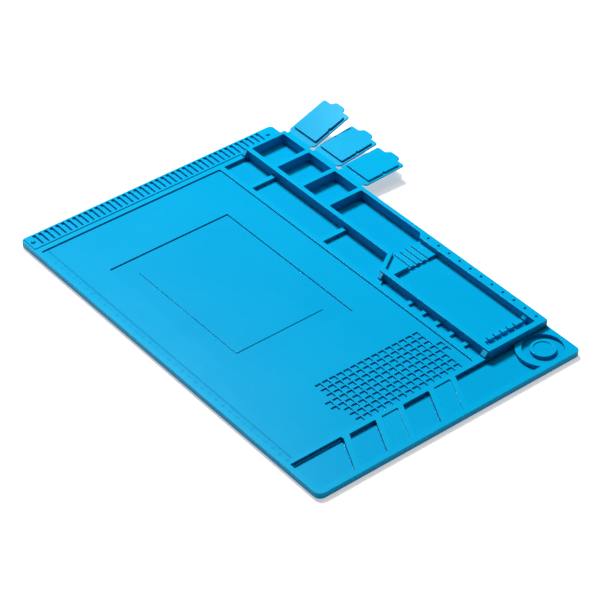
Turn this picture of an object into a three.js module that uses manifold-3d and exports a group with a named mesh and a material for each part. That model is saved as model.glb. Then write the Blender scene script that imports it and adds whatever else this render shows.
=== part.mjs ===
// Anti-static bench mat: one soft rubber moulding, 450 x 300 mm, with a raised storage block,
// tool channels, a grid of small pockets, end trays and three lids on living hinges.
// Millimetres, +Z up. Everything is laid out from the near left corner of the mat (x along the
// long side from the comb strip, y from the ruler side) and centred at the end, so the finished
// part has its origin in the middle of the underside.
import * as THREE from 'three';
import { mergeVertices } from 'three/addons/utils/BufferGeometryUtils.js';
import Module from 'manifold-3d';

const wasm = await Module();
wasm.setup();

// Driving dimensions of the sheet
const MAT_LENGTH = 450;
const MAT_WIDTH = 300;
const RIM_TOP = 6;
const BLOCK_TOP = 13;
const POCKET_FLOOR = 2;
// corner radii in plan: near left, near right, far right, far left
const CORNER_RADII = [4, 8, 6, 5];
const POCKET_CORNER = 1.2;
const OVERCUT = 1;

// Work area, a shallow recess with the ruler along its near edge
const WORK_LEFT = 26.6;
const WORK_NEAR = 5.3;
const WORK_LENGTH = 374.4;
const WORK_WIDTH = 210.2;
const WORK_DEPTH = 1.5;
const WORK_CORNER = 3;

// Recess for magnetic screw sorting, with a raised field inside
const PAD_LEFT = 88;
const PAD_NEAR = 40.8;
const PAD_LENGTH = 190;
const PAD_WIDTH = 137.4;
const PAD_DEPTH = 1.3;
const PAD_FIELD_MARGIN_X = 20;
const PAD_FIELD_MARGIN_Y = 19;
const PAD_FIELD_RISE = 0.7;

// Grid of small square pockets sunk in the work area
const GRID_LEFT = 337.2;
const GRID_NEAR = 85.8;
const GRID_PITCH = 8;
const GRID_POCKET = 6.2;
const GRID_DEPTH = 1.4;
const GRID_COLUMNS = 8;
const GRID_ROWS = 15;
const GRID_EXTRA_COLUMNS = [3, 4];

// Comb strip along the left end: a raised band with cross slots and a peg at each end
const COMB_RISE = 0.8;
const COMB_WIDTH = 20.4;
const COMB_NEAR = 2.4;
const COMB_SLOT_LEFT = 2;
const COMB_SLOT_LENGTH = 16;
const COMB_SLOT_WIDTH = 3.4;
const COMB_SLOT_DEPTH = 2;
const COMB_SLOT_PITCH = 6.5;
const COMB_SLOT_COUNT = 42;
const COMB_FIRST_SLOT = 11.2;
const PEG_RADIUS = 2.5;
const PEG_RISE = 2;
const PEG_INSET = 10.6;
const PEG_FROM_NEAR = 7;
const PEG_FROM_FAR = 12.4;

// Storage block along the far edge
const BLOCK_LEFT = 22.4;
const BLOCK_RIGHT = 406.3;
const BLOCK_NEAR = 250.3;
const BLOCK_WIDE_NEAR = 228.8;
const DIAGONAL_LEFT = 240.8;
const DIAGONAL_RIGHT = 255;
const BLOCK_CORNER = 1.6;
const BLOCK_INNER_CORNER = 1;
const WALL_DIAGONAL = 5.5;
const WALL_FAR = 4.7;
const WALL_NEAR = 5.4;

// Three small pockets under the lids, then one long pocket
const LIDDED_POCKETS = 3;
const LIDDED_LEFT = 26.7;
const LIDDED_LENGTH = 35;
const LIDDED_PITCH = 40.6;

// Ribbed rest between the long pocket and the wide tray
const REST_LEFT = 239.8;
const REST_LENGTH = 25.2;
const REST_TOP = 7.8;
const REST_STEP_TOP = 9.2;
const REST_GROOVES = 4;
const REST_GROOVE_PITCH = 6.97;
const REST_GROOVE_WIDTH = 2.8;
const REST_GROOVE_DEPTH = 1.5;
const REST_FIRST_GROOVE_FROM_WALL = 9.9;

// Wide tray with a notched ridge at its right end
const TRAY_RIGHT = 400.3;
const TRAY_NEAR = 234.7;
const TRAY_FAR = 289.7;
const TRAY_FLOOR = 4.5;
const TRAY_JOG = 5.3;
const RIDGE_LEFT = 384.6;
const RIDGE_WIDTH = 5;
const RIDGE_TOP = 8;
const RIDGE_NOTCH_WIDTH = 1.4;
const RIDGE_END_RISE = 3.5;
const RIDGE_END_REACH = 4;
const RIDGE_NOTCH_TOPS = [286.8, 276.3, 268.3, 260.3, 252.3, 244.3];

// Row of sockets in the wide rim beside the tray
const DOT_LEFT = 247;
const DOT_PITCH = 14.9;
const DOT_COUNT = 11;
const DOT_RADIUS = 1.25;
const DOT_DEPTH = 4;
const DOT_FROM_FAR = 4.8;

// Tool channels in front of the block
const CHANNEL_NEAR = 221.3;
const CHANNEL_LEFT = 26.4;
const CHANNEL_RIBS = [66.2, 175.6];
const CHANNEL_RIB_WIDTH = 5.6;
const GUSSET_REACH = 4;
const GUSSET_TOP_DROP = 0.6;
const GUSSET_KNEE = 0.35;
const GUSSET_BED = 0.5;
const TOOTH_GUSSET_REACH = 3;
const DIAGONAL_RIB = 5;
const LEDGE_FLOOR = 3.4;
const LEDGE_RIGHT = 399;
const TOOTH_RIGHT = 304.8;
const TOOTH_WIDTH = 5;
const TOOTH_PITCH = 19;
const TOOTH_COUNT = 5;
const TOOTH_TOP = 8;

// End trays on the right, between slanted dividers
const END_LEFT = 406.3;
const END_RIGHT = 443.8;
const END_DROP = 17.7;
const END_NEAR = 5.4;
const END_SHALLOW = 1.2;
const END_STEP = 1.7;
const END_STEP_DEPTH = 2.6;
// left-hand edges of each tray, near then far, from the ruler side up
const END_TRAYS = [
  { near: END_NEAR, far: 61.8, deep: true, square: true },
  { near: 68.8, far: 97.7, deep: true },
  { near: 104.9, far: 122.9, deep: false },
  { near: 128.9, far: 158.3, deep: true },
  { near: 164.7, far: 183.3, deep: false },
];
const LONG_TRAY_NEAR = 189.3;

// Round rest at the far right corner
const RING_X = 426.7;
const RING_Y = 275.7;
const RING_WELL_RADIUS = 19.4;
const RING_OUTER = 12.2;
const RING_INNER = 9.2;
const RING_ARC = 25.6;
const RING_FLOOR = 2.6;
const RING_DISH = 0.9;

// Lids on living hinges along the far edge
const LID_THICKNESS = 1.5;
const LID_LENGTH = 50.3;
const LID_SIDE_MARGIN = 2.3;
const LID_CLEARANCE = 0.3;
const LID_CORNER = 2.5;
const LID_TAB_WIDTH = 15;
const LID_TAB_LENGTH = 4.8;
const LID_TAB_OFFSET = 1.4;
const LID_TAB_FLARE = 2.5;
const LID_TAB_ROUND = 6;
const PLUG_HEIGHT = 2;
const PLUG_FIT = 0.4;
const PLUG_NOTCH = 1.3;
const HINGE_REACH = 2;
const HINGE_WEB = 0.75;
const HINGE_NOSE = 0.25;
const HINGE_GAP = 1.05;
const LID_TILTS = [20, 7, 2.3];

const RUBBER = { color: 0x00a2dc, roughness: 0.55, metalness: 0 };
const ARC_STEPS = 6;
// sides of round features, from the smallest to the largest
const SOCKET_SIDES = 12;
const NOTCH_SIDES = 16;
const PEG_SIDES = 20;
const RING_SIDES = 48;
const MERGE_DISTANCE = 1e-5;

// Outlines and solids

function roundedOutline(points, radii) {
  // A closed outline whose corners are arcs; each radius belongs to the point of the same index.
  // A corner may take up half of a side, or all of it if the side's other end is sharp.
  const shape = new THREE.Shape();
  const count = points.length;
  points.forEach((point, i) => {
    const corner = new THREE.Vector2(...point);
    const before = new THREE.Vector2(...points[(i + count - 1) % count]).sub(corner);
    const after = new THREE.Vector2(...points[(i + 1) % count]).sub(corner);
    const half = Math.acos(before.clone().normalize().dot(after.clone().normalize())) / 2;
    const room = (side, neighbour) => side.length() / (radii[neighbour] > 0 ? 2 : 1);
    const reach = Math.min(
      radii[i] / Math.tan(half), room(before, (i + count - 1) % count), room(after, (i + 1) % count));
    const start = corner.clone().addScaledVector(before.normalize(), reach);
    const end = corner.clone().addScaledVector(after.normalize(), reach);
    if (i === 0) {
      shape.moveTo(start.x, start.y);
    } else {
      shape.lineTo(start.x, start.y);
    }
    if (reach > 0) {
      shape.quadraticCurveTo(corner.x, corner.y, end.x, end.y);
    }
  });
  shape.closePath();
  return shape;
}

function polygon(points, radius = 0) {
  return roundedOutline(points, points.map(() => radius));
}

function rectangle(left, near, length, width, radius = 0) {
  const right = left + length;
  const far = near + width;
  return polygon([[left, near], [right, near], [right, far], [left, far]], radius);
}

function matOutline() {
  return roundedOutline([[0, 0], [MAT_LENGTH, 0], [MAT_LENGTH, MAT_WIDTH], [0, MAT_WIDTH]], CORNER_RADII);
}

function prism(shape, bottom, top) {
  const geometry = new THREE.ExtrudeGeometry(shape, {
    depth: top - bottom, bevelEnabled: false, curveSegments: ARC_STEPS,
  });
  return geometry.translate(0, 0, bottom);
}

function disc(x, y, radius, bottom, top, sides) {
  const geometry = new THREE.CylinderGeometry(radius, radius, top - bottom, sides);
  return geometry.rotateX(Math.PI / 2).translate(x, y, (top + bottom) / 2);
}

function solid(geometry) {
  const bare = geometry.clone();
  bare.deleteAttribute('normal');
  bare.deleteAttribute('uv');
  const merged = mergeVertices(bare, MERGE_DISTANCE);
  return new wasm.Manifold(new wasm.Mesh({
    numProp: 3,
    vertProperties: new Float32Array(merged.attributes.position.array),
    triVerts: new Uint32Array(merged.index.array),
  }));
}

function joined(geometries) {
  return geometries.map(solid).reduce((whole, piece) => whole.add(piece));
}

function toGeometry(manifold) {
  const mesh = manifold.getMesh();
  const geometry = new THREE.BufferGeometry();
  geometry.setAttribute('position', new THREE.BufferAttribute(new Float32Array(mesh.vertProperties), 3));
  geometry.setIndex(new THREE.BufferAttribute(new Uint32Array(mesh.triVerts), 1));
  return geometry;
}

// A wedge against a wall that faces the near side. It covers the given span along x, stands upright
// to its knee and slopes back to the wall from there.
function gusset(left, width, wall, foot, top, reach) {
  const knee = foot + GUSSET_KNEE * (top - foot);
  const section = polygon([[0, foot], [0, top], [-reach, knee], [-reach, foot]]);
  const geometry = new THREE.ExtrudeGeometry(section, { depth: width, bevelEnabled: false });
  // the section lies in y and z, and runs along x
  const turn = new THREE.Matrix4().set(0, 0, 1, left, 1, 0, 0, wall, 0, 1, 0, 0, 0, 0, 0, 1);
  geometry.applyMatrix4(turn);
  return geometry;
}

// Places that follow from the sizes above
const workFloor = RIM_TOP - WORK_DEPTH;
const padFloor = workFloor - PAD_DEPTH;
const combTop = RIM_TOP + COMB_RISE;
const gussetTop = BLOCK_TOP - GUSSET_TOP_DROP;
const blockFar = MAT_WIDTH;
const pocketFar = blockFar - WALL_FAR;
const pocketNear = BLOCK_NEAR + WALL_NEAR;
const diagonalSlope = (DIAGONAL_RIGHT - DIAGONAL_LEFT) / (BLOCK_NEAR - BLOCK_WIDE_NEAR);
const diagonalAt = (y) => DIAGONAL_RIGHT + (BLOCK_WIDE_NEAR - y) * diagonalSlope;
const diagonalInner = (y) => diagonalAt(y) + WALL_DIAGONAL;
const ribShift = DIAGONAL_RIB * Math.hypot(1, diagonalSlope);

// The rubber sheet with its comb strip, block and rims
function sheetBody() {
  const sheet = prism(matOutline(), 0, RIM_TOP);
  const comb = prism(rectangle(0, COMB_NEAR, COMB_WIDTH, MAT_WIDTH - COMB_NEAR), POCKET_FLOOR, combTop);
  const withinMat = prism(matOutline(), 0, combTop);
  const block = prism(roundedOutline([
    [BLOCK_LEFT, BLOCK_NEAR],
    [DIAGONAL_LEFT, BLOCK_NEAR],
    [DIAGONAL_RIGHT, BLOCK_WIDE_NEAR],
    [BLOCK_RIGHT, BLOCK_WIDE_NEAR],
    [BLOCK_RIGHT, blockFar],
    [BLOCK_LEFT, blockFar],
  ], [...Array(4).fill(BLOCK_INNER_CORNER), BLOCK_CORNER, BLOCK_CORNER]), POCKET_FLOOR, BLOCK_TOP);
  return solid(sheet).add(solid(comb).intersect(solid(withinMat))).add(solid(block));
}

function workAreaCuts() {
  const recess = prism(
    rectangle(WORK_LEFT, WORK_NEAR, WORK_LENGTH, WORK_WIDTH, WORK_CORNER), workFloor, RIM_TOP + OVERCUT);
  const pad = prism(
    rectangle(PAD_LEFT, PAD_NEAR, PAD_LENGTH, PAD_WIDTH, POCKET_CORNER), padFloor, RIM_TOP);
  const field = prism(rectangle(
    PAD_LEFT + PAD_FIELD_MARGIN_X, PAD_NEAR + PAD_FIELD_MARGIN_Y,
    PAD_LENGTH - 2 * PAD_FIELD_MARGIN_X, PAD_WIDTH - 2 * PAD_FIELD_MARGIN_Y, POCKET_CORNER,
  ), padFloor - OVERCUT, padFloor + PAD_FIELD_RISE);
  return joined([recess, pad]).subtract(solid(field));
}

function gridCuts() {
  const cells = [];
  for (let row = -1; row <= GRID_ROWS; row += 1) {
    for (let column = 0; column < GRID_COLUMNS; column += 1) {
      const inFullRow = row >= 0 && row < GRID_ROWS;
      if (inFullRow || GRID_EXTRA_COLUMNS.includes(column)) {
        cells.push([GRID_LEFT + column * GRID_PITCH, GRID_NEAR + row * GRID_PITCH]);
      }
    }
  }
  return joined(cells.map(([x, y]) => prism(
    rectangle(x, y, GRID_POCKET, GRID_POCKET), workFloor - GRID_DEPTH, RIM_TOP)));
}

function combCuts() {
  const slots = [];
  for (let i = 0; i < COMB_SLOT_COUNT; i += 1) {
    slots.push(prism(
      rectangle(COMB_SLOT_LEFT, COMB_FIRST_SLOT + i * COMB_SLOT_PITCH, COMB_SLOT_LENGTH, COMB_SLOT_WIDTH),
      combTop - COMB_SLOT_DEPTH, combTop + OVERCUT));
  }
  return joined(slots);
}

function peg(y) {
  // A low round peg with a domed top
  const profile = [new THREE.Vector2(0, -OVERCUT), new THREE.Vector2(PEG_RADIUS, -OVERCUT)];
  for (let i = 0; i <= ARC_STEPS; i += 1) {
    const angle = (i / ARC_STEPS) * Math.PI / 2;
    const radius = i === ARC_STEPS ? 0 : PEG_RADIUS * Math.cos(angle);
    profile.push(new THREE.Vector2(radius, PEG_RISE * Math.sin(angle)));
  }
  const geometry = new THREE.LatheGeometry(profile, PEG_SIDES);
  return geometry.rotateX(Math.PI / 2).translate(PEG_INSET, y, combTop);
}

function blockCuts() {
  const cuts = [];
  for (let i = 0; i < LIDDED_POCKETS; i += 1) {
    cuts.push(prism(rectangle(
      LIDDED_LEFT + i * LIDDED_PITCH, pocketNear, LIDDED_LENGTH, pocketFar - pocketNear, POCKET_CORNER,
    ), POCKET_FLOOR, BLOCK_TOP + OVERCUT));
  }
  // The long pocket, the rest and the wide tray are one hollow with floors at several heights.
  const hollow = [
    [LIDDED_LEFT + LIDDED_POCKETS * LIDDED_PITCH, pocketNear],
    [diagonalInner(pocketNear), pocketNear],
    [diagonalInner(TRAY_NEAR), TRAY_NEAR],
    [TRAY_RIGHT, TRAY_NEAR],
    [TRAY_RIGHT, TRAY_FAR],
    [REST_LEFT + OVERCUT, TRAY_FAR],
    [REST_LEFT + OVERCUT - TRAY_JOG, pocketFar],
    [LIDDED_LEFT + LIDDED_POCKETS * LIDDED_PITCH, pocketFar],
  ];
  const long = solid(prism(polygon(hollow, POCKET_CORNER), POCKET_FLOOR, BLOCK_TOP + OVERCUT));
  const restRight = REST_LEFT + REST_LENGTH;
  const fill = [
    prism(rectangle(REST_LEFT, 0, REST_LENGTH, MAT_WIDTH), 0, REST_TOP),
    prism(rectangle(restRight - OVERCUT, 0, MAT_LENGTH, MAT_WIDTH), 0, TRAY_FLOOR),
    prism(rectangle(RIDGE_LEFT, 0, RIDGE_WIDTH, MAT_WIDTH), 0, RIDGE_TOP),
    prism(rectangle(REST_LEFT, 0, REST_LENGTH, grooveFar(REST_GROOVES - 1) - REST_GROOVE_WIDTH), 0, REST_STEP_TOP),
    gusset(RIDGE_LEFT, RIDGE_WIDTH, TRAY_FAR + OVERCUT, RIDGE_TOP - OVERCUT, RIDGE_TOP + RIDGE_END_RISE,
      RIDGE_END_REACH),
  ];
  const grooves = [];
  for (let i = 0; i < REST_GROOVES; i += 1) {
    grooves.push(prism(rectangle(
      REST_LEFT - OVERCUT, grooveFar(i) - REST_GROOVE_WIDTH, REST_LENGTH + 2 * OVERCUT, REST_GROOVE_WIDTH,
    ), REST_TOP - REST_GROOVE_DEPTH, BLOCK_TOP));
  }
  RIDGE_NOTCH_TOPS.forEach((far) => {
    grooves.push(prism(rectangle(
      RIDGE_LEFT - OVERCUT, far - RIDGE_NOTCH_WIDTH, RIDGE_WIDTH + 2 * OVERCUT, RIDGE_NOTCH_WIDTH,
    ), TRAY_FLOOR, BLOCK_TOP));
  });
  const furniture = joined(fill).subtract(joined(grooves));
  const dots = [];
  for (let i = 0; i < DOT_COUNT; i += 1) {
    dots.push(disc(
      DOT_LEFT + i * DOT_PITCH, MAT_WIDTH - DOT_FROM_FAR, DOT_RADIUS,
      BLOCK_TOP - DOT_DEPTH, BLOCK_TOP + OVERCUT, SOCKET_SIDES));
  }
  return joined(cuts).add(long.subtract(furniture)).add(joined(dots));
}

function grooveFar(i) {
  return TRAY_FAR - REST_FIRST_GROOVE_FROM_WALL - i * REST_GROOVE_PITCH;
}

function channelCuts() {
  const above = BLOCK_TOP + OVERCUT;
  // Channels between the rim and the block wall: two plain ones and one that ends at the diagonal.
  const channel = polygon([
    [CHANNEL_LEFT, CHANNEL_NEAR], [diagonalAt(CHANNEL_NEAR), CHANNEL_NEAR],
    [DIAGONAL_LEFT, BLOCK_NEAR], [CHANNEL_LEFT, BLOCK_NEAR],
  ]);
  const ribs = [];
  CHANNEL_RIBS.forEach((left) => {
    ribs.push(prism(rectangle(left, 0, CHANNEL_RIB_WIDTH, MAT_WIDTH), 0, RIM_TOP));
    ribs.push(gusset(left, CHANNEL_RIB_WIDTH, BLOCK_NEAR, RIM_TOP - OVERCUT, gussetTop, GUSSET_REACH));
  });
  const channels = solid(prism(channel, POCKET_FLOOR, above)).subtract(joined(ribs));
  // Ledge beside the wide part of the block, crossed by short teeth
  const ledge = polygon([
    [diagonalAt(CHANNEL_NEAR) + ribShift, CHANNEL_NEAR], [LEDGE_RIGHT, CHANNEL_NEAR],
    [LEDGE_RIGHT, BLOCK_WIDE_NEAR], [diagonalAt(BLOCK_WIDE_NEAR) + ribShift, BLOCK_WIDE_NEAR],
  ]);
  const teeth = [];
  for (let i = 0; i < TOOTH_COUNT; i += 1) {
    const left = TOOTH_RIGHT - TOOTH_WIDTH + i * TOOTH_PITCH;
    teeth.push(prism(rectangle(left, 0, TOOTH_WIDTH, MAT_WIDTH), 0, RIM_TOP));
    teeth.push(gusset(left, TOOTH_WIDTH, BLOCK_WIDE_NEAR, RIM_TOP - OVERCUT, TOOTH_TOP, TOOTH_GUSSET_REACH));
  }
  const ledges = solid(prism(ledge, LEDGE_FLOOR, above)).subtract(joined(teeth));
  return channels.add(ledges);
}

function endGussets() {
  // Wedges outside the channels; each is let into the block wall by the same amount
  const bedded = (left, width, wall) => gusset(
    left, width, wall + GUSSET_BED, RIM_TOP - OVERCUT, gussetTop, GUSSET_REACH + GUSSET_BED);
  return [
    bedded(BLOCK_LEFT, CHANNEL_LEFT - BLOCK_LEFT, BLOCK_NEAR),
    bedded(LEDGE_RIGHT, BLOCK_RIGHT - BLOCK_INNER_CORNER - LEDGE_RIGHT, BLOCK_WIDE_NEAR),
    bedded(diagonalAt(BLOCK_WIDE_NEAR), ribShift, BLOCK_WIDE_NEAR),
  ];
}

function endTrayCuts() {
  const above = RIM_TOP + OVERCUT;
  const cuts = END_TRAYS.map(({ near, far, deep, square }) => {
    const nearDrop = square ? 0 : END_DROP;
    const outline = polygon([
      [END_LEFT, near], [END_RIGHT, near - nearDrop], [END_RIGHT, far - END_DROP], [END_LEFT, far],
    ], POCKET_CORNER);
    return prism(outline, deep ? POCKET_FLOOR : RIM_TOP - END_SHALLOW, above);
  });
  // The first tray has a narrow step down its left wall.
  cuts.push(prism(
    rectangle(END_LEFT - END_STEP, END_NEAR, END_STEP + OVERCUT, END_TRAYS[0].far - END_NEAR - OVERCUT),
    RIM_TOP - END_STEP_DEPTH, above));
  const long = solid(prism(polygon([
    [END_LEFT, LONG_TRAY_NEAR], [END_RIGHT, LONG_TRAY_NEAR - END_DROP],
    [END_RIGHT, RING_Y], [END_LEFT, RING_Y],
  ]), POCKET_FLOOR, above)).subtract(solid(disc(RING_X, RING_Y, RING_ARC, 0, BLOCK_TOP, RING_SIDES)));
  return joined(cuts).add(long);
}

function ringCuts() {
  const above = RIM_TOP + OVERCUT;
  const well = solid(disc(RING_X, RING_Y, RING_WELL_RADIUS, RING_FLOOR, above, RING_SIDES));
  const ring = solid(disc(RING_X, RING_Y, RING_OUTER, 0, RIM_TOP, RING_SIDES));
  const dish = solid(disc(RING_X, RING_Y, RING_INNER, RIM_TOP - RING_DISH, above, RING_SIDES));
  return well.subtract(ring).add(dish);
}

// Thin tongue that carries each lid, on the block's far edge
const hingeY = MAT_WIDTH + HINGE_REACH;
const hingeZ = BLOCK_TOP;

function lidSpan(i) {
  const left = LIDDED_LEFT + i * LIDDED_PITCH - LID_SIDE_MARGIN;
  return { left, width: LIDDED_LENGTH + 2 * LID_SIDE_MARGIN };
}

function hingeTongue(i) {
  const { left, width } = lidSpan(i);
  return prism(rectangle(
    left + LID_CORNER, MAT_WIDTH - OVERCUT, width - 2 * LID_CORNER, OVERCUT + HINGE_REACH + HINGE_NOSE,
  ), hingeZ - HINGE_WEB, hingeZ);
}

// Each lid is drawn lying flat, with the hinge line as its own x axis: y runs out along the lid.
function lidGeometry() {
  const { width } = lidSpan(0);
  const half = width / 2;
  const plateTop = -LID_CLEARANCE;
  const plateBottom = plateTop - LID_THICKNESS;
  const tabLeft = LID_TAB_OFFSET - LID_TAB_WIDTH / 2;
  const tabRight = LID_TAB_OFFSET + LID_TAB_WIDTH / 2;
  const tabEnd = LID_LENGTH + LID_TAB_LENGTH;
  const outline = roundedOutline([
    [-half + LID_CORNER, HINGE_GAP], [half - LID_CORNER, HINGE_GAP], [half, HINGE_GAP + LID_CORNER],
    [half, LID_LENGTH], [tabRight, LID_LENGTH], [tabRight, tabEnd],
    [tabLeft, tabEnd], [tabLeft - LID_TAB_FLARE, LID_LENGTH], [-half, LID_LENGTH],
    [-half, HINGE_GAP + LID_CORNER],
  ], [0, 0, 0, LID_CORNER, 0, LID_TAB_ROUND, LID_TAB_ROUND, LID_TAB_ROUND, LID_CORNER, 0]);
  const plate = solid(prism(outline, plateBottom, plateTop));
  // The plug drops into the pocket when the lid is folded over about the hinge line.
  const plugNear = HINGE_REACH + WALL_FAR + PLUG_FIT;
  const plugLength = pocketFar - pocketNear - 2 * PLUG_FIT;
  const plugWidth = LIDDED_LENGTH - 2 * PLUG_FIT;
  const plug = solid(prism(
    rectangle(-plugWidth / 2, plugNear, plugWidth, plugLength, POCKET_CORNER + PLUG_FIT),
    plateTop - LID_THICKNESS / 2, plateTop + PLUG_HEIGHT));
  const notches = joined([-1, 1].map((side) => disc(
    side * plugWidth / 2, plugNear + plugLength / 2, PLUG_NOTCH,
    plateTop, plateTop + PLUG_HEIGHT + OVERCUT, NOTCH_SIDES)));
  return toGeometry(plate.add(plug.subtract(notches)));
}

const mat = new THREE.Group();
mat.name = 'anti_static_bench_mat';

function addPiece(name, geometry, placed = {}) {
  const piece = new THREE.Mesh(geometry, new THREE.MeshStandardMaterial(RUBBER));
  piece.name = name;
  piece.position.set(...(placed.position ?? [0, 0, 0]));
  piece.rotation.x = placed.tilt ?? 0;
  mat.add(piece);
}

let body = sheetBody()
  .add(joined(endGussets()))
  .subtract(workAreaCuts())
  .subtract(gridCuts())
  .subtract(combCuts())
  .subtract(blockCuts())
  .subtract(channelCuts())
  .subtract(endTrayCuts())
  .subtract(ringCuts())
  .add(joined([peg(PEG_FROM_NEAR), peg(MAT_WIDTH - PEG_FROM_FAR)]));
for (let i = 0; i < LIDDED_POCKETS; i += 1) {
  body = body.add(solid(hingeTongue(i)));
}
addPiece('mat', toGeometry(body).translate(-MAT_LENGTH / 2, -MAT_WIDTH / 2, 0));

LID_TILTS.forEach((tilt, i) => {
  const { left, width } = lidSpan(i);
  addPiece(`lid_${i + 1}`, lidGeometry(), {
    position: [left + width / 2 - MAT_LENGTH / 2, hingeY - MAT_WIDTH / 2, hingeZ],
    tilt: THREE.MathUtils.degToRad(tilt),
  });
});

export default mat;
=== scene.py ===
import itertools
import math

import bmesh
import bpy
from mathutils import Matrix, Vector


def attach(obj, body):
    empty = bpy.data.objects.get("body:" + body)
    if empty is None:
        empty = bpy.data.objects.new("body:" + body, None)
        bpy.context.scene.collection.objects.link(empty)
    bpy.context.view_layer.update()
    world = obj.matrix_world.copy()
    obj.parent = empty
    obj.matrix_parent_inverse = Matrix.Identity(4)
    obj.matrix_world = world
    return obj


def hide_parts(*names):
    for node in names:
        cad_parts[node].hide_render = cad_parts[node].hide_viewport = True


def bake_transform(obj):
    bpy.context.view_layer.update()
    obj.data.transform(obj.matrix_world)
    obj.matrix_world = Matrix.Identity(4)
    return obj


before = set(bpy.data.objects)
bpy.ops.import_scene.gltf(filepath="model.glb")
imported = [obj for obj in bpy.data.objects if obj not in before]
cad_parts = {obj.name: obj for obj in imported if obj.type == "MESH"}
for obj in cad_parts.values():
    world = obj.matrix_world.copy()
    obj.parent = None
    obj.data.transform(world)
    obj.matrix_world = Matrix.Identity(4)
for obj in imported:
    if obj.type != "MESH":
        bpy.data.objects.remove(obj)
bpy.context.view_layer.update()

MM = 0.001

# Places on the moulding, in millimetres from its near left corner
MAT_LENGTH = 450
MAT_WIDTH = 300
RECESS_FLOOR = 4.5
RIM_TOP = 6
BLOCK_TOP = 13
COMB_TOP = 6.8
COMB_RIGHT = 21.5
HINGED_RIGHT = 155

# Radii of the mat's corners, by whether they are on its right and on its far side
CORNER_RADII = {(False, False): 4, (True, False): 8, (True, True): 6, (False, True): 5}

# Areas whose edges have a rounding of their own: left, right, near and far limit
WORK_AREA = (26.3, 401.3, 5.1, 216)
RIDGE = (384, 390.2, 234, 290.5)
CHANNELS_AND_POCKETS = (-1, 403, 221, 298)
HOLLOW_FOOT_TOP = 4.7

# How near a height or a wall counts as on it, in millimetres
AT_HEIGHT = 0.1
AT_WALL = 0.02
AT_CORNER = 0.15

# Rounding of the moulded edges, in millimetres
ROUND_OUTER = 0.9
ROUND_EDGE = 0.4
ROUND_FOOT = 0.45
ROUND_DEEP_FOOT = 0.9
ROUND_SMALL = 0.2
ROUND_LID = 0.25
ROUND_STEPS = 2
SHARP_ANGLE = math.radians(32)
RUNS_ON_ANGLE = math.radians(50)
ROOM_SHARE = 0.42

# Merging of the loose triangles into whole faces
MERGE_DISTANCE = 0.01 * MM
FLAT_ANGLE = math.radians(0.5)

# Ruler moulded along the near edge of the work area
RULER_ZERO = 27.5
RULER_CENTIMETRES = 37
RULER_BASELINE = 12.7
RULER_OVERRUN = 0.5
RULER_LINE_WIDTH = 0.35
RULER_LINE_HEIGHT = 0.14
LINE_BED = 0.04
LINE_SLOPE = 0.3
TICK_WIDTH = 0.3
TICK_LONG = 2.9
TICK_MIDDLE = 2.1
TICK_SHORT = 1.3
DIGIT_SIZE = 3.4
DIGIT_NEAR = 6.4
DIGIT_CURVE_STEPS = 2

# Lids: node, body, middle of the hinge web along the mat, and tilt in degrees
LIDS = [
    ("lid_1", "lid_a", 44.2, 20),
    ("lid_2", "lid_b", 84.8, 7),
    ("lid_3", "lid_c", 125.4, 2.3),
]

# Living hinges: the web's start and waist in y and z from the hinge line, and its end along and under the lid
HINGE_Y = 302
WEB_START = (-1.4, -0.38)
WEB_WAIST = (-0.1, -0.42)
WEB_REACH = 2.2
WEB_DROP = 0.8
WEB_WIDTH = 34.4
WEB_THICKNESS = 0.62
WEB_STEPS = 14
WEB_SMOOTH_ANGLE = math.radians(40)

# Blue of the silicone at its two ends, each partly random tone and partly painted light: deep with painted
# shade in the hollows, pale with painted light on the raised faces; and the heights between which the painted
# light turns it paler
BLUE_DEEP_TONE_AND_SHADE = (0.0, 0.262, 0.51, 1)
BLUE_PALE_TONE_AND_LIGHT = (0.0, 0.345, 0.6, 1)
PAINTED_LIGHT_FROM = 4 * MM
PAINTED_LIGHT_ABOVE = 6.2 * MM

# Studio floor, in metres
FLOOR_SIZE = 12
FLOOR_HEIGHT = -0.0004

# Softboxes: name, place, diameter, power, and whether one shows in reflections alone
SOFTBOXES = [
    ("key", (-1.76, 0.66, 2.5), 0.9, 158, False),
    ("overhead", (-0.4, 1.0, 2.9), 1.5, 20, False),
    ("edge_light", (-1.8, -1.85, 1.45), 1.0, 40, True),
]

# Camera where the photograph was taken from, found from the mat's straight edges
CAMERA_PLACE = (1.3640, -1.0601, 1.3915)
CAMERA_RIGHT = (0.6219, 0.7831, -0.0082)
CAMERA_UP = (-0.4876, 0.3954, 0.7784)
CAMERA_BACK = (0.6128, -0.4800, 0.6278)
CAMERA_LENS = 144.6


def place(x, y, z):
    """A point given in millimetres from the mat's near left corner, in metres in the row frame."""
    return Vector(((x - MAT_LENGTH / 2) * MM, (y - MAT_WIDTH / 2) * MM, z * MM))


def corner_frame(point):
    """The millimetres from the near left corner at which a point of the row frame lies."""
    return point.x / MM + MAT_LENGTH / 2, point.y / MM + MAT_WIDTH / 2, point.z / MM


# Handling objects


def choose(*objects):
    """Only these objects are selected, and the first one is active."""
    for other in bpy.context.selected_objects:
        other.select_set(False)
    for obj in objects:
        obj.select_set(True)
    bpy.context.view_layer.objects.active = objects[0]


def apply_place(obj):
    """Moves the object's place, turn and scale into its mesh."""
    choose(obj)
    bpy.ops.object.transform_apply(location=True, rotation=True, scale=True)


def apply_modifier(obj, kind, **settings):
    """Adds one modifier with its settings and applies it."""
    choose(obj)
    modifier = obj.modifiers.new(kind.lower(), kind)
    for name, value in settings.items():
        setattr(modifier, name, value)
    bpy.ops.object.modifier_apply(modifier=modifier.name)


def edit(obj):
    choose(obj)
    bpy.ops.object.mode_set(mode="EDIT")


def leave_edit():
    bpy.ops.object.mode_set(mode="OBJECT")


def join(objects, name):
    """Makes one object of several, with a name of its own."""
    choose(*objects)
    bpy.ops.object.join()
    objects[0].name = name
    return objects[0]


# How much each edge of the moulding is rounded


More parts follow.
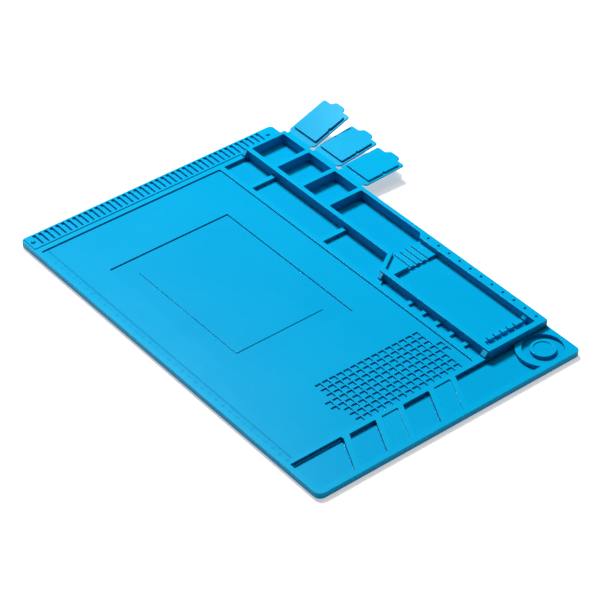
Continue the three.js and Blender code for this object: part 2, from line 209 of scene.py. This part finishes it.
def is_sharp(edge):
    return len(edge.link_faces) == 2 and edge.calc_face_angle(0) >= SHARP_ANGLE


def inside(x, y, area):
    left, right, near, far = area
    return left < x < right and near < y < far


def on_outline(x, y):
    """True on the outer wall of the mat and round its corners."""
    inside_x = min(x, MAT_LENGTH - x)
    inside_y = min(y, MAT_WIDTH - y)
    if min(inside_x, inside_y) < AT_WALL:
        return True
    radius = CORNER_RADII[(x > MAT_LENGTH / 2, y > MAT_WIDTH / 2)]
    from_centre = math.hypot(radius - inside_x, radius - inside_y)
    return max(inside_x, inside_y) < radius and from_centre > radius - AT_CORNER


def under_lids(x, y, height):
    """True on the far edge of the block, where the lids hinge."""
    return x < HINGED_RIGHT and y > MAT_WIDTH - AT_HEIGHT and height > RIM_TOP


def on_comb(x, height):
    """True on the comb strip's raised top."""
    return x < COMB_RIGHT and RIM_TOP + AT_HEIGHT < height < COMB_TOP + AT_HEIGHT


def mat_rounding(edge):
    """The rounding of one edge of the mat: none on a flat, and the most on the outer edge."""
    if not is_sharp(edge):
        return 0
    x, y, height = corner_frame((edge.verts[0].co + edge.verts[1].co) / 2)
    if height < AT_HEIGHT or under_lids(x, y, height):
        return ROUND_SMALL
    if edge.is_convex and height > RIM_TOP - AT_HEIGHT and on_outline(x, y):
        return ROUND_OUTER
    foot_on_rim = abs(height - RIM_TOP) < AT_HEIGHT and not edge.is_convex
    if foot_on_rim or on_comb(x, height) or inside(x, y, WORK_AREA) or inside(x, y, RIDGE):
        return ROUND_SMALL
    if edge.is_convex:
        return ROUND_EDGE
    if height < HOLLOW_FOOT_TOP and inside(x, y, CHANNELS_AND_POCKETS):
        return ROUND_DEEP_FOOT
    return ROUND_FOOT


def lid_rounding(edge):
    """The rounding of one edge of a lid, which is the same all over."""
    return ROUND_LID if is_sharp(edge) else 0


def meeting_edges(shape, amounts):
    """Every rounded edge with each rounded edge that it meets, and the vertex where they meet."""
    for vertex in shape.verts:
        rounded = [edge for edge in vertex.link_edges if amounts[edge.index] > 0]
        for first, second in itertools.permutations(rounded, 2):
            yield first, second, vertex


def runs_on(first, second, vertex):
    """True where two edges pass through a vertex in nearly one line."""
    away = first.other_vert(vertex).co - vertex.co
    onward = vertex.co - second.other_vert(vertex).co
    return away.angle(onward) < RUNS_ON_ANGLE


def even_out(shape, amounts):
    """Less rounding beside short edges, and the smallest one all along edges that run on into each other."""
    lines = []
    for first, second, vertex in meeting_edges(shape, amounts):
        if runs_on(first, second, vertex):
            lines.append((first.index, second.index))
        else:
            room = second.calc_length() / MM * ROOM_SHARE
            amounts[first.index] = min(amounts[first.index], room)
    changed = True
    while changed:
        changed = False
        for first, second in lines:
            if amounts[first] > amounts[second]:
                amounts[first] = amounts[second]
                changed = True


# The moulding and its lids, taken over from the frame with rounded edges


def merged_copy(node_name, name):
    """A copy of a CAD node with its triangles merged into whole faces."""
    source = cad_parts[node_name]
    piece = bpy.data.objects.new(name, source.data.copy())
    bpy.context.scene.collection.objects.link(piece)
    stored_normals = piece.data.attributes.get("custom_normal")
    if stored_normals is not None:
        piece.data.attributes.remove(stored_normals)
    edit(piece)
    bpy.ops.mesh.select_all(action="SELECT")
    bpy.ops.mesh.remove_doubles(threshold=MERGE_DISTANCE)
    bpy.ops.mesh.dissolve_limited(angle_limit=FLAT_ANGLE, delimit=set())
    leave_edit()
    return piece


def round_edges(piece, largest, rounding):
    """Bevels every sharp edge by its own width, and shades the result smooth."""
    weights = piece.data.attributes.new("bevel_weight_edge", "FLOAT", "EDGE")
    shape = bmesh.new()
    shape.from_mesh(piece.data)
    shape.edges.ensure_lookup_table()
    amounts = [rounding(edge) for edge in shape.edges]
    even_out(shape, amounts)
    shape.free()
    weights.data.foreach_set("value", [amount / largest for amount in amounts])
    choose(piece)
    bpy.ops.object.shade_smooth()
    apply_modifier(
        piece, "BEVEL", width=largest * MM, segments=ROUND_STEPS, limit_method="WEIGHT",
        use_clamp_overlap=False, harden_normals=True, miter_outer="MITER_SHARP", loop_slide=False,
    )


def make_mat():
    mat = merged_copy("mat", "bench_mat")
    round_edges(mat, ROUND_OUTER, mat_rounding)
    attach(mat, "root")
    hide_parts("mat")
    return mat


def make_lid(node_name, body):
    lid = merged_copy(node_name, node_name.replace("lid", "pocket_lid"))
    round_edges(lid, ROUND_LID, lid_rounding)
    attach(lid, body)
    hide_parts(node_name)
    return lid


# Living hinges: a thin web from the block to each lid


def web_path(share, tilt):
    """Where the web's middle runs, in millimetres of y and z, from the block (0) to the lid (1)."""
    hinge = Vector((HINGE_Y, BLOCK_TOP))
    along = Vector((math.cos(tilt), math.sin(tilt)))
    across = Vector((-math.sin(tilt), math.cos(tilt)))
    start = hinge + Vector(WEB_START)
    waist = hinge + Vector(WEB_WAIST)
    end = hinge + along * WEB_REACH - across * WEB_DROP
    return (1 - share) ** 2 * start + 2 * share * (1 - share) * waist + share ** 2 * end


def make_web(index, centre, tilt):
    """A flat grid laid along the web's path and given its thickness."""
    bpy.ops.mesh.primitive_grid_add(x_subdivisions=1, y_subdivisions=WEB_STEPS, size=1)
    web = bpy.context.object
    web.name = f"hinge_web_{index}"
    for vertex in web.data.vertices:
        y, z = web_path(vertex.co.y + 0.5, math.radians(tilt))
        vertex.co = place(centre + vertex.co.x * WEB_WIDTH, y, z)
    apply_modifier(web, "SOLIDIFY", thickness=WEB_THICKNESS * MM, offset=0)
    choose(web)
    bpy.ops.object.shade_smooth_by_angle(angle=WEB_SMOOTH_ANGLE)
    place(centre, HINGE_Y - 0.5, 0)
    place(centre, HINGE_Y + 1.1, 0)
    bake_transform(web)
    return web


# Ruler: ticks, baseline and numbers, all raised from the recess floor


def line(x, y, length, width):
    """A low moulded line with sloping sides, standing on the recess floor."""
    centre = place(x + length / 2, y + width / 2, RECESS_FLOOR - LINE_BED / 2)
    bpy.ops.mesh.primitive_cube_add(size=1, location=centre, scale=(length * MM, width * MM, LINE_BED * MM))
    piece = bpy.context.object
    apply_place(piece)
    edit(piece)
    bpy.ops.mesh.select_all(action="DESELECT")
    shape = bmesh.from_edit_mesh(piece.data)
    for face in shape.faces:
        face.select_set(face.normal.z > 0.9)
    bmesh.update_edit_mesh(piece.data)
    slope = min(length, width) * LINE_SLOPE
    bpy.ops.mesh.inset(thickness=slope * MM, depth=RULER_LINE_HEIGHT * MM)
    leave_edit()
    return piece


def tick(millimetre, length):
    return line(RULER_ZERO + millimetre - TICK_WIDTH / 2, RULER_BASELINE - length, TICK_WIDTH, length)


def make_ticks():
    """The ten ticks of one centimetre, repeated, with the last tick and the line that they stand on."""
    lengths = {0: TICK_LONG, 5: TICK_MIDDLE}
    ticks = join([tick(step, lengths.get(step, TICK_SHORT)) for step in range(10)], "ruler_ticks")
    apply_modifier(
        ticks, "ARRAY", count=RULER_CENTIMETRES, use_relative_offset=False,
        use_constant_offset=True, constant_offset_displace=(10 * MM, 0, 0),
    )
    length = RULER_CENTIMETRES * 10
    last = tick(length, TICK_LONG)
    baseline = line(RULER_ZERO - RULER_OVERRUN, RULER_BASELINE, length + 2 * RULER_OVERRUN, RULER_LINE_WIDTH)
    ticks = join([ticks, last, baseline], "ruler_ticks")
    apply_place(ticks)
    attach(ticks, "root")
    return ticks


def make_number(count):
    middle = RECESS_FLOOR + (RULER_LINE_HEIGHT - LINE_BED) / 2
    bpy.ops.object.text_add(location=place(RULER_ZERO + count * 10, DIGIT_NEAR, middle))
    number = bpy.context.object
    number.data.body = str(count)
    number.data.align_x = "CENTER"
    number.data.size = DIGIT_SIZE * MM
    number.data.extrude = RULER_LINE_HEIGHT / 2 * MM
    number.data.resolution_u = DIGIT_CURVE_STEPS
    choose(number)
    bpy.ops.object.convert(target="MESH")
    return bpy.context.object


def make_numbers():
    numbers = [make_number(count) for count in range(1, RULER_CENTIMETRES + 1)]
    numbers = join(numbers, "ruler_numbers")
    apply_place(numbers)
    edit(numbers)
    bpy.ops.mesh.select_all(action="SELECT")
    bpy.ops.mesh.remove_doubles(threshold=0.001 * MM)
    bpy.ops.mesh.normals_make_consistent(inside=False)
    leave_edit()
    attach(numbers, "root")
    return numbers


# Shader maths: sums and products of sockets add their nodes


class Socket:
    """One output of a node tree; plus and times add Math nodes."""

    def __init__(self, tree, socket):
        self.tree = tree
        self.socket = socket

    def maths(self, operation, first, second):
        return add_node(self.tree, "ShaderNodeMath", {"operation": operation}, {0: first, 1: second})

    def __add__(self, other):
        return self.maths("ADD", self, other)

    def __radd__(self, other):
        return self.maths("ADD", other, self)

    def __mul__(self, other):
        return self.maths("MULTIPLY", self, other)

    def __rmul__(self, other):
        return self.maths("MULTIPLY", other, self)


def set_input(tree, socket, value):
    """Gives a socket its value, or links it to another node's output."""
    if isinstance(value, Socket):
        tree.links.new(value.socket, socket)
    else:
        socket.default_value = value


def add_node(tree, kind, settings=None, inputs=None, output=0):
    """Adds a node: first its settings, then the values or links of its sockets."""
    made = tree.nodes.new(kind)
    for name, value in (settings or {}).items():
        setattr(made, name, value)
    for name, value in (inputs or {}).items():
        set_input(tree, made.inputs[name], value)
    return Socket(tree, made.outputs[output])


def noise(where, scale, detail, roughness=0.5):
    return add_node(where.tree, "ShaderNodeTexNoise", None, {
        "Vector": where, "Scale": scale, "Detail": detail, "Roughness": roughness,
    })


def mix_colours(share, low, high):
    inputs = {0: share, 6: low, 7: high}
    return add_node(share.tree, "ShaderNodeMix", {"data_type": "RGBA"}, inputs, output=2)


def new_material(name):
    """A material, and the inputs of its shader."""
    material = bpy.data.materials.new(name)
    material.use_nodes = True
    return material, material.node_tree.nodes["Principled BSDF"].inputs


def silicone():
    """Blue moulded silicone: fine grain, faint clouds of colour, and painted light that makes the raised
    faces paler than the hollows.
    """
    material, shader = new_material("blue_silicone")
    tree = material.node_tree
    where = add_node(tree, "ShaderNodeTexCoord", output="Object")
    clouds = noise(where, 14, 3)
    mottle = noise(where, 260, 4, 0.6)
    grain = noise(where, 2600, 3, 0.6)
    height = add_node(tree, "ShaderNodeSeparateXYZ", None, {0: where}, output="Z")
    # Painted light and shade: the blue turns paler with height, so raised faces look lit and hollows look
    # shaded.
    raised = add_node(tree, "ShaderNodeMapRange", None, {
        "Value": height, "From Min": PAINTED_LIGHT_FROM, "From Max": PAINTED_LIGHT_ABOVE, "To Min": 0, "To Max": 1,
    })
    relief = add_node(tree, "ShaderNodeBump", None, {
        "Strength": 0.25, "Distance": 0.06 * MM, "Height": 0.7 * grain + 0.3 * mottle,
    })
    # Random clouds and mottle of tone, plus the painted light on the raised faces.
    tone_and_painted_light = 0.25 * clouds + 0.2 * mottle + 0.4 * raised
    set_input(tree, shader["Base Color"], mix_colours(tone_and_painted_light, BLUE_DEEP_TONE_AND_SHADE, BLUE_PALE_TONE_AND_LIGHT))
    set_input(tree, shader["Roughness"], 0.16 + 0.05 * mottle + 0.04 * clouds)
    set_input(tree, shader["Normal"], relief)
    shader["IOR"].default_value = 1.41
    shader["Specular IOR Level"].default_value = 0.12
    shader["Specular Tint"].default_value = (0.06, 0.7, 1, 1)
    return material


# Studio


def make_floor():
    bpy.ops.mesh.primitive_plane_add(size=FLOOR_SIZE, location=(0, 0, FLOOR_HEIGHT))
    floor = bpy.context.object
    floor.name = "studio_floor"
    material, shader = new_material("studio_white")
    shader["Base Color"].default_value = (0.55, 0.55, 0.56, 1)
    shader["Emission Color"].default_value = (1, 1, 1, 1)
    shader["Emission Strength"].default_value = 0.48
    shader["Roughness"].default_value = 0.8
    shader["Specular IOR Level"].default_value = 0.1
    floor.data.materials.append(material)


def make_softbox(name, location, diameter, power, gloss_only):
    """A round light that points at the origin; with gloss_only it shows in reflections alone."""
    data = bpy.data.lights.new(name, "AREA")
    data.energy = power
    data.shape = "DISK"
    data.size = diameter
    light = bpy.data.objects.new(name, data)
    bpy.context.scene.collection.objects.link(light)
    light.location = location
    light.rotation_euler = (-Vector(location)).to_track_quat("-Z", "Y").to_euler()
    light.visible_diffuse = not gloss_only


def make_world():
    """A dim, slightly cool room around the softboxes."""
    world = bpy.data.worlds.new("studio")
    world.use_nodes = True
    background = world.node_tree.nodes["Background"]
    background.inputs["Color"].default_value = (0.95, 0.97, 1, 1)
    background.inputs["Strength"].default_value = 0.02
    bpy.context.scene.world = world


def make_camera():
    data = bpy.data.cameras.new("photo_camera")
    data.lens = CAMERA_LENS
    data.sensor_width = 36
    data.clip_end = 30
    camera = bpy.data.objects.new("photo_camera", data)
    bpy.context.scene.collection.objects.link(camera)
    turn = Matrix((CAMERA_RIGHT, CAMERA_UP, CAMERA_BACK)).transposed().to_4x4()
    camera.matrix_world = Matrix.Translation(CAMERA_PLACE) @ turn
    bpy.context.scene.camera = camera


make_camera()
for softbox in SOFTBOXES:
    make_softbox(*softbox)
make_world()
make_floor()
pieces = [make_mat()]
for index, (node_name, body_name, middle, tilt) in enumerate(LIDS, 1):
    pieces.append(make_lid(node_name, body_name))
    pieces.append(make_web(index, middle, tilt))
pieces.append(make_ticks())
pieces.append(make_numbers())
rubber = silicone()
for piece in pieces:
    piece.data.materials.clear()
    piece.data.materials.append(rubber)
bpy.context.scene.view_settings.view_transform = "Standard"
